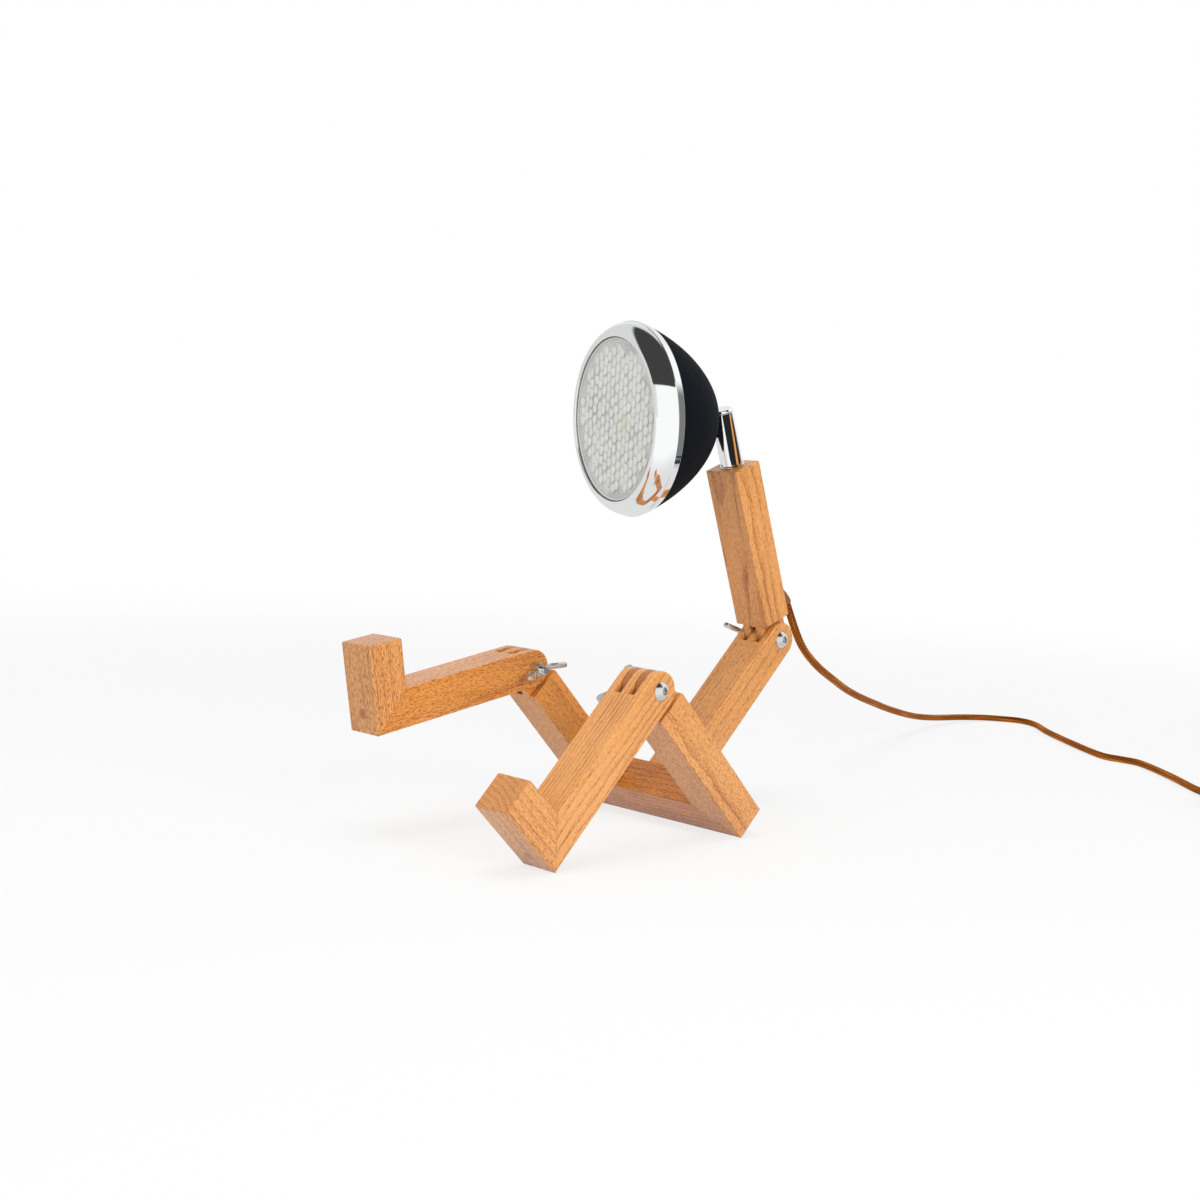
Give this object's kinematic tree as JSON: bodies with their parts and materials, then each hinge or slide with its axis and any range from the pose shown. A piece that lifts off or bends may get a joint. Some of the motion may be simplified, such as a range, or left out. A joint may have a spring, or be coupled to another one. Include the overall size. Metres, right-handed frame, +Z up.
{
  "type": "robot shaped desk lamp",
  "caption": "Desk lamp shaped like a sitting wooden robot, with finger-jointed legs and torso, wing nuts, a chrome neck and a round headlamp head on a textile cord.",
  "frame": {"origin": "middle of the lamp's own box, without its free cord, at the surface that it sits on", "axes": "+Z up; -Y is where the robot's thighs point; +X is the robot's left side"},
  "size_m": [0.4482, 0.7459, 0.294],
  "materials": {
    "wood_light": "satin lacquer on fine straight grain",
    "wood_dark": "satin lacquer, slightly darker",
    "dowel_wood": "plain glued dowel",
    "dowel_dark": "dark end grain, flush",
    "zinc": "bright zinc plate",
    "nut_zinc": "bright zinc plate, slightly worn",
    "chrome": "polished chrome plate",
    "shell_paint": "matt black powder coat",
    "glass": "pebbled pressed glass",
    "bulb_glass": "opal capsule",
    "rubber": "soft seal",
    "mirror": "bright spun aluminium",
    "ceramic": "glazed ceramic",
    "steel": "plain turned steel",
    "brass": "plain turned brass",
    "lead_sheath": "silicone sheath",
    "relief_rubber": "soft moulded sleeve",
    "cord_textile": "braided textile over a round flex",
    "black_plastic": "fine moulded texture",
    "rocker_plastic": "smooth moulded face"
  },
  "bodies": {
    "hips": {"left_thigh": "wood_light", "right_thigh": "wood_light", "hip_crossbeam": "wood_dark", "lower_torso": "wood_light", "mitre_dowels": "dowel_wood", "torso_dowels": "dowel_wood", "waist_bolt": "zinc", "cord_lead": "cord_textile", "switch_base": "black_plastic", "switch_cover": "black_plastic", "switch_pivot": "steel", "switch_contacts": "brass", "switch_screws": "steel", "cord_link": "cord_textile", "cord_coil": "cord_textile", "cord_tail": "cord_textile", "plug_body": "black_plastic", "plug_prongs": "brass"},
    "left_leg": {"left_shin": "wood_light", "left_foot": "wood_light", "left_foot_dowel": "dowel_dark", "left_knee_bolt": "zinc"},
    "right_leg": {"right_shin": "wood_light", "right_foot": "wood_light", "right_foot_dowel": "dowel_dark", "right_knee_bolt": "zinc"},
    "torso": {"upper_torso": "wood_light", "neck_bush": "brass", "neck_collar": "chrome", "torso_lead": "lead_sheath", "strain_relief": "relief_rubber"},
    "neck": {"neck_tube": "chrome", "neck_cap": "chrome", "neck_spigot": "steel", "snap_ring": "steel", "pivot_block": "steel", "tilt_pin": "steel", "neck_lead": "lead_sheath"},
    "head": {"tilt_bracket": "steel", "bracket_screws": "steel", "head_shell": "shell_paint", "bezel_ring": "chrome", "front_glass": "glass", "glass_gasket": "rubber", "reflector": "mirror", "lamp_holder": "ceramic", "holder_screw": "steel", "capsule_bulb": "bulb_glass", "head_lead": "lead_sheath"},
    "left_nut": {"left_wing_nut": "nut_zinc"},
    "right_nut": {"right_wing_nut": "nut_zinc"},
    "waist_nut": {"waist_wing_nut": "nut_zinc"},
    "rocker": {"switch_rocker": "rocker_plastic"}
  },
  "joints": [
    {"name": "left_knee", "type": "hinge", "parent": "hips", "child": "left_leg", "pos_m": [0.05427, -0.02634, 0.08973], "axis": [-1, 0, 0], "range_deg": [-4, 105]},
    {"name": "right_knee", "type": "hinge", "parent": "hips", "child": "right_leg", "pos_m": [-0.04773, -0.02634, 0.08973], "axis": [-1, 0, 0], "range_deg": [-39, 60]},
    {"name": "waist", "type": "hinge", "parent": "hips", "child": "torso", "pos_m": [0.00327, 0.13537, 0.10494], "axis": [-1, 0, 0], "range_deg": [-28, 110], "deforming": ["cord_lead"]},
    {"name": "neck_swivel", "type": "hinge", "parent": "torso", "child": "neck", "pos_m": [0.00327, 0.09416, 0.2123], "axis": [0, -0.3584, 0.9336], "range_deg": [-150, 165]},
    {"name": "head_tilt", "type": "hinge", "parent": "neck", "child": "head", "pos_m": [0.00327, 0.08341, 0.24031], "axis": [-0.9563, 0.273, 0.1048], "range_deg": [-23, 6]},
    {"name": "left_nut_turn", "type": "hinge", "parent": "left_leg", "child": "left_nut", "pos_m": [0.04177, -0.02634, 0.08973], "axis": [-1, 0, 0], "continuous": true},
    {"name": "right_nut_turn", "type": "hinge", "parent": "right_leg", "child": "right_nut", "pos_m": [-0.03523, -0.02634, 0.08973], "axis": [1, 0, 0], "continuous": true},
    {"name": "waist_nut_turn", "type": "hinge", "parent": "hips", "child": "waist_nut", "pos_m": [-0.00923, 0.13537, 0.10494], "axis": [-1, 0, 0], "continuous": true},
    {"name": "switch_rock", "type": "hinge", "parent": "hips", "child": "rocker", "pos_m": [0.2145, 0.3765, 0.012], "axis": [0.6561, 0.7547, 0], "range_deg": [0, 16]}
  ]
}
